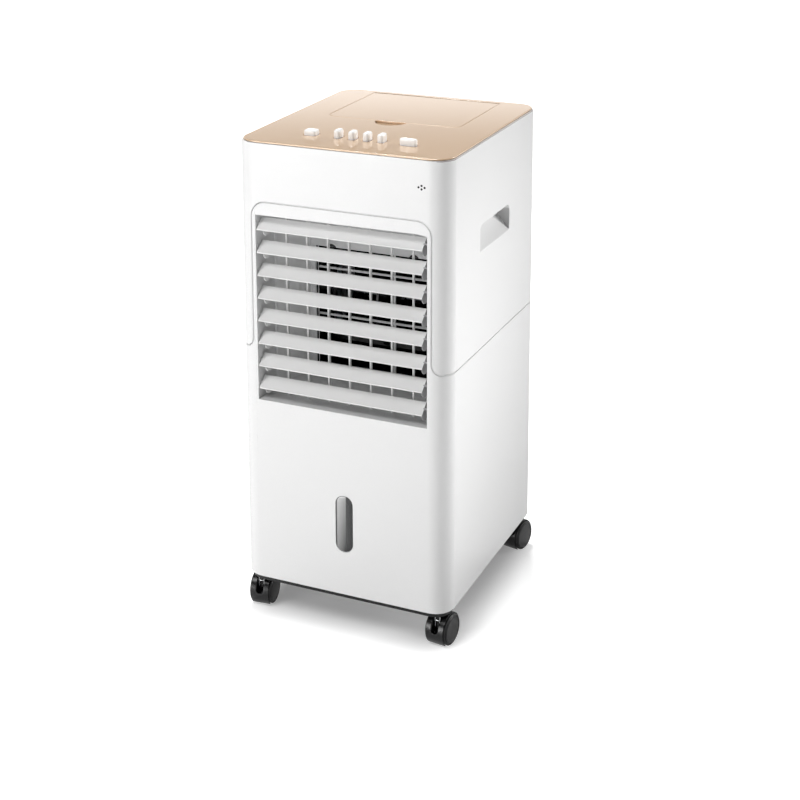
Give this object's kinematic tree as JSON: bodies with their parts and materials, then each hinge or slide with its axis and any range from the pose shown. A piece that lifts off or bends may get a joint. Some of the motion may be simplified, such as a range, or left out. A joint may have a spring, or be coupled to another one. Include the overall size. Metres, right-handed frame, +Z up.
{
  "type": "evaporative air cooler",
  "caption": "Upright portable evaporative air cooler with a louvred outlet, swing vanes, blower, water tank, wet pad behind a rear door and a lift-up filling lid, on twin-wheel casters.",
  "frame": {"origin": "on the floor, under the middle of the bounding box (the cabinet itself is 12.8 mm in front of it because the mains cord hangs behind)", "axes": "+Z up; -Y is the front with the louvres; +X is to the right of someone facing the front"},
  "size_m": [0.2819, 0.3488, 0.6306],
  "materials": {
    "white_shell": "satin gloss",
    "white_moving": "satin",
    "white_key": "gloss",
    "champagne_panel": "metallic gloss",
    "grey_plastic": "satin",
    "level_glass": "clear",
    "lamp_dark": "gloss",
    "black_plastic": "satin",
    "black_tread": "satin",
    "bright_steel": "brushed",
    "tank_plastic": "translucent",
    "float_orange": "satin",
    "filter_mesh": "woven",
    "wet_pad": "corrugated paper",
    "black_cord": "matte"
  },
  "bodies": {
    "cabinet": {"lower_housing": "white_shell", "upper_shell": "white_shell", "indicator_lens": "lamp_dark", "level_window": "level_glass", "base_plate": "black_plastic", "top_plate": "champagne_panel", "lid_hinge_pin": "bright_steel", "switch_box": "black_plastic", "air_duct": "grey_plastic", "outlet_guard": "grey_plastic", "swing_motor": "bright_steel", "blower_scroll": "black_plastic", "fan_motor": "bright_steel", "water_tank": "tank_plastic", "pump_body": "black_plastic", "water_hose": "tank_plastic", "water_distributor": "grey_plastic", "fill_chute": "grey_plastic", "cord_hook": "white_shell", "power_cord": "black_cord"},
    "lid": {"fill_lid": "champagne_panel"},
    "speed_key_off": {"speed_key_off": "white_key"},
    "speed_key_low": {"speed_key_low": "white_key"},
    "speed_key_mid": {"speed_key_mid": "white_key"},
    "speed_key_high": {"speed_key_high": "white_key"},
    "swing_key": {"swing_key": "white_key"},
    "cool_key": {"cool_key": "white_key"},
    "louvre_1": {"louvre_blade_1": "white_moving"},
    "louvre_2": {"louvre_blade_2": "white_moving"},
    "louvre_3": {"louvre_blade_3": "white_moving"},
    "louvre_4": {"louvre_blade_4": "white_moving"},
    "louvre_5": {"louvre_blade_5": "white_moving"},
    "louvre_6": {"louvre_blade_6": "white_moving"},
    "louvre_7": {"louvre_blade_7": "white_moving"},
    "louvre_8": {"louvre_blade_8": "white_moving"},
    "louvre_bar": {"louvre_link": "white_moving"},
    "vane_1": {"swing_vane_1": "white_moving"},
    "vane_2": {"swing_vane_2": "white_moving"},
    "vane_3": {"swing_vane_3": "white_moving"},
    "vane_4": {"swing_vane_4": "white_moving"},
    "vane_5": {"swing_vane_5": "white_moving"},
    "vane_6": {"swing_vane_6": "white_moving"},
    "vane_7": {"swing_vane_7": "white_moving"},
    "vane_bar": {"vane_link": "white_moving"},
    "blower": {"blower_wheel": "black_plastic", "fan_shaft": "bright_steel"},
    "rear_door": {"rear_grille": "white_shell", "dust_filter": "filter_mesh", "cooling_pad": "wet_pad"},
    "drain": {"drain_plug": "white_shell"},
    "float": {"level_float": "float_orange"},
    "caster_front_left": {"caster_yoke_front_left": "black_plastic"},
    "wheels_front_left": {"caster_wheels_front_left": "black_tread"},
    "caster_rear_left": {"caster_yoke_rear_left": "black_plastic"},
    "wheels_rear_left": {"caster_wheels_rear_left": "black_tread"},
    "caster_front_right": {"caster_yoke_front_right": "black_plastic"},
    "wheels_front_right": {"caster_wheels_front_right": "black_tread"},
    "caster_rear_right": {"caster_yoke_rear_right": "black_plastic"},
    "wheels_rear_right": {"caster_wheels_rear_right": "black_tread"}
  },
  "joints": [
    {"name": "lid_hinge", "type": "hinge", "parent": "cabinet", "child": "lid", "pos_m": [0, 0.1332, 0.6174], "axis": [-1, 0, 0], "range_deg": [0, 95]},
    {"name": "speed_key_off_press", "type": "slide", "parent": "cabinet", "child": "speed_key_off", "axis": [0, 0, -1], "range_m": [0, 0.003]},
    {"name": "speed_key_low_press", "type": "slide", "parent": "cabinet", "child": "speed_key_low", "axis": [0, 0, -1], "range_m": [0, 0.003]},
    {"name": "speed_key_mid_press", "type": "slide", "parent": "cabinet", "child": "speed_key_mid", "axis": [0, 0, -1], "range_m": [0, 0.003]},
    {"name": "speed_key_high_press", "type": "slide", "parent": "cabinet", "child": "speed_key_high", "axis": [0, 0, -1], "range_m": [0, 0.003]},
    {"name": "swing_key_press", "type": "slide", "parent": "cabinet", "child": "swing_key", "axis": [0, 0, -1], "range_m": [0, 0.003]},
    {"name": "cool_key_press", "type": "slide", "parent": "cabinet", "child": "cool_key", "axis": [0, 0, -1], "range_m": [0, 0.003]},
    {"name": "louvre_1_tilt", "type": "hinge", "parent": "cabinet", "child": "louvre_1", "pos_m": [0, -0.1658, 0.5149], "axis": [1, 0, 0], "range_deg": [-55, 10]},
    {"name": "louvre_2_tilt", "type": "hinge", "parent": "cabinet", "child": "louvre_2", "pos_m": [0, -0.1658, 0.4856], "axis": [1, 0, 0], "range_deg": [-55, 10]},
    {"name": "louvre_3_tilt", "type": "hinge", "parent": "cabinet", "child": "louvre_3", "pos_m": [0, -0.1658, 0.4563], "axis": [1, 0, 0], "range_deg": [-55, 10]},
    {"name": "louvre_4_tilt", "type": "hinge", "parent": "cabinet", "child": "louvre_4", "pos_m": [0, -0.1658, 0.427], "axis": [1, 0, 0], "range_deg": [-55, 10]},
    {"name": "louvre_5_tilt", "type": "hinge", "parent": "cabinet", "child": "louvre_5", "pos_m": [0, -0.1658, 0.3977], "axis": [1, 0, 0], "range_deg": [-55, 10]},
    {"name": "louvre_6_tilt", "type": "hinge", "parent": "cabinet", "child": "louvre_6", "pos_m": [0, -0.1658, 0.3684], "axis": [1, 0, 0], "range_deg": [-55, 10]},
    {"name": "louvre_7_tilt", "type": "hinge", "parent": "cabinet", "child": "louvre_7", "pos_m": [0, -0.1658, 0.3391], "axis": [1, 0, 0], "range_deg": [-55, 10]},
    {"name": "louvre_8_tilt", "type": "hinge", "parent": "cabinet", "child": "louvre_8", "pos_m": [0, -0.1658, 0.3098], "axis": [1, 0, 0], "range_deg": [-55, 10]},
    {"name": "louvre_bar_pin", "type": "hinge", "parent": "louvre_1", "child": "louvre_bar", "pos_m": [0.1089, -0.1573, 0.5149], "axis": [1, 0, 0], "range_deg": [-10, 55]},
    {"name": "vane_1_swing", "type": "hinge", "parent": "cabinet", "child": "vane_1", "pos_m": [-0.0843, -0.1458, 0.4085], "axis": [0, 0, 1], "range_deg": [-45, 10]},
    {"name": "vane_2_swing", "type": "hinge", "parent": "cabinet", "child": "vane_2", "pos_m": [-0.0562, -0.1458, 0.4085], "axis": [0, 0, 1], "range_deg": [-45, 10]},
    {"name": "vane_3_swing", "type": "hinge", "parent": "cabinet", "child": "vane_3", "pos_m": [-0.0281, -0.1458, 0.4085], "axis": [0, 0, 1], "range_deg": [-45, 10]},
    {"name": "vane_4_swing", "type": "hinge", "parent": "cabinet", "child": "vane_4", "pos_m": [0, -0.1458, 0.4085], "axis": [0, 0, 1], "range_deg": [-45, 10]},
    {"name": "vane_5_swing", "type": "hinge", "parent": "cabinet", "child": "vane_5", "pos_m": [0.0281, -0.1458, 0.4085], "axis": [0, 0, 1], "range_deg": [-45, 10]},
    {"name": "vane_6_swing", "type": "hinge", "parent": "cabinet", "child": "vane_6", "pos_m": [0.0562, -0.1458, 0.4085], "axis": [0, 0, 1], "range_deg": [-45, 10]},
    {"name": "vane_7_swing", "type": "hinge", "parent": "cabinet", "child": "vane_7", "pos_m": [0.0843, -0.1458, 0.4085], "axis": [0, 0, 1], "range_deg": [-45, 10]},
    {"name": "vane_bar_pin", "type": "hinge", "parent": "vane_4", "child": "vane_bar", "pos_m": [-0.00222, -0.13969, 0.29065], "axis": [0, 0, 1], "range_deg": [-10, 45]},
    {"name": "blower_spin", "type": "hinge", "parent": "cabinet", "child": "blower", "pos_m": [0, 0.0022, 0.385], "axis": [1, 0, 0], "continuous": true},
    {"name": "rear_door_hinge", "type": "hinge", "parent": "cabinet", "child": "rear_door", "pos_m": [0, 0.1466, 0.3754], "axis": [-1, 0, 0], "range_deg": [0, 60]},
    {"name": "drain_turn", "type": "hinge", "parent": "cabinet", "child": "drain", "pos_m": [0.06, 0.1522, 0.076], "axis": [0, 1, 0], "range_deg": [0, 90]},
    {"name": "float_rise", "type": "slide", "parent": "cabinet", "child": "float", "axis": [0, 0, 1], "range_m": [-0.03, 0.03]},
    {"name": "swivel_front_left", "type": "hinge", "parent": "cabinet", "child": "caster_front_left", "pos_m": [-0.1223, -0.1558, 0.045], "axis": [0, 0, 1], "continuous": true},
    {"name": "roll_front_left", "type": "hinge", "parent": "caster_front_left", "child": "wheels_front_left", "pos_m": [-0.12314, -0.14784, 0.0195], "axis": [0.9945, 0.1045, 0], "continuous": true},
    {"name": "swivel_rear_left", "type": "hinge", "parent": "cabinet", "child": "caster_rear_left", "pos_m": [-0.1223, 0.1162, 0.045], "axis": [0, 0, 1], "continuous": true},
    {"name": "roll_rear_left", "type": "hinge", "parent": "caster_rear_left", "child": "wheels_rear_left", "pos_m": [-0.12314, 0.12416, 0.0195], "axis": [0.9945, 0.1045, 0], "continuous": true},
    {"name": "swivel_front_right", "type": "hinge", "parent": "cabinet", "child": "caster_front_right", "pos_m": [0.1223, -0.1558, 0.045], "axis": [0, 0, 1], "continuous": true},
    {"name": "roll_front_right", "type": "hinge", "parent": "caster_front_right", "child": "wheels_front_right", "pos_m": [0.12341, -0.14788, 0.0195], "axis": [0.9903, -0.1392, 0], "continuous": true},
    {"name": "swivel_rear_right", "type": "hinge", "parent": "cabinet", "child": "caster_rear_right", "pos_m": [0.1223, 0.1162, 0.045], "axis": [0, 0, 1], "continuous": true},
    {"name": "roll_rear_right", "type": "hinge", "parent": "caster_rear_right", "child": "wheels_rear_right", "pos_m": [0.12423, 0.12396, 0.0195], "axis": [0.9703, -0.2419, 0], "continuous": true}
  ],
  "couplings": [
    {"joint": "louvre_2_tilt", "follows": "louvre_1_tilt", "ratio": 1},
    {"joint": "louvre_3_tilt", "follows": "louvre_1_tilt", "ratio": 1},
    {"joint": "louvre_4_tilt", "follows": "louvre_1_tilt", "ratio": 1},
    {"joint": "louvre_5_tilt", "follows": "louvre_1_tilt", "ratio": 1},
    {"joint": "louvre_6_tilt", "follows": "louvre_1_tilt", "ratio": 1},
    {"joint": "louvre_7_tilt", "follows": "louvre_1_tilt", "ratio": 1},
    {"joint": "louvre_8_tilt", "follows": "louvre_1_tilt", "ratio": 1},
    {"joint": "louvre_bar_pin", "follows": "louvre_1_tilt", "ratio": -1},
    {"joint": "vane_1_swing", "follows": "vane_4_swing", "ratio": 1},
    {"joint": "vane_2_swing", "follows": "vane_4_swing", "ratio": 1},
    {"joint": "vane_3_swing", "follows": "vane_4_swing", "ratio": 1},
    {"joint": "vane_5_swing", "follows": "vane_4_swing", "ratio": 1},
    {"joint": "vane_6_swing", "follows": "vane_4_swing", "ratio": 1},
    {"joint": "vane_7_swing", "follows": "vane_4_swing", "ratio": 1},
    {"joint": "vane_bar_pin", "follows": "vane_4_swing", "ratio": -1}
  ]
}
